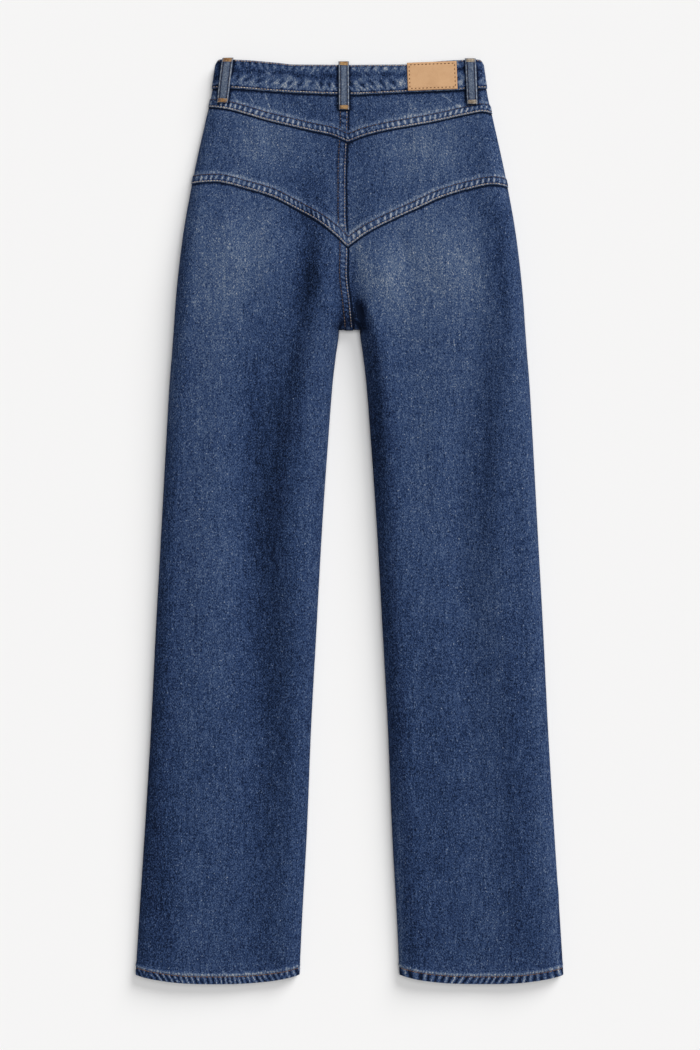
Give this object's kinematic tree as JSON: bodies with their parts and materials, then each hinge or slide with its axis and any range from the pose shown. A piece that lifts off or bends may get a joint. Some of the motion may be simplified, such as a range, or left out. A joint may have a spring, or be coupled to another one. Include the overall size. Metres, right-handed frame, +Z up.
{
  "type": "wide-leg jeans laid flat on their front",
  "caption": "High-waisted wide-leg jeans in worn blue denim, laid flat on their front with the yoked back, belt loops and waistband patch up.",
  "frame": {"origin": "middle of the garment's outline, on the surface that it lies on", "axes": "+Z up from the surface; +Y towards the waist; +X towards the wearer's right hip, the picture's right"},
  "size_m": [0.5102, 1.1022, 0.0295],
  "materials": {
    "denim": "indigo cotton twill, washed, with a fine pale slub",
    "denim_faded": "the same twill, faded over the seat",
    "denim_loops": "the same twill, worn grey-blue on the loops",
    "tan_leather": "tan vegetable leather, matt",
    "brass": "aged"
  },
  "bodies": {
    "root": {"back_leg_left": "denim", "back_leg_right": "denim", "front_leg_left": "denim", "front_leg_right": "denim", "yoke_upper_left": "denim_faded", "yoke_upper_right": "denim_faded", "yoke_lower_left": "denim_faded", "yoke_lower_right": "denim_faded", "waistband_back": "denim", "waistband_front_left": "denim", "waistband_front_right": "denim", "belt_loop_left": "denim_loops", "belt_loop_centre": "denim_loops", "belt_loop_right": "denim_loops", "waistband_patch": "tan_leather", "fly_button": "brass", "fly_slider": "brass", "fly_zip": "denim"}
  },
  "joints": []
}
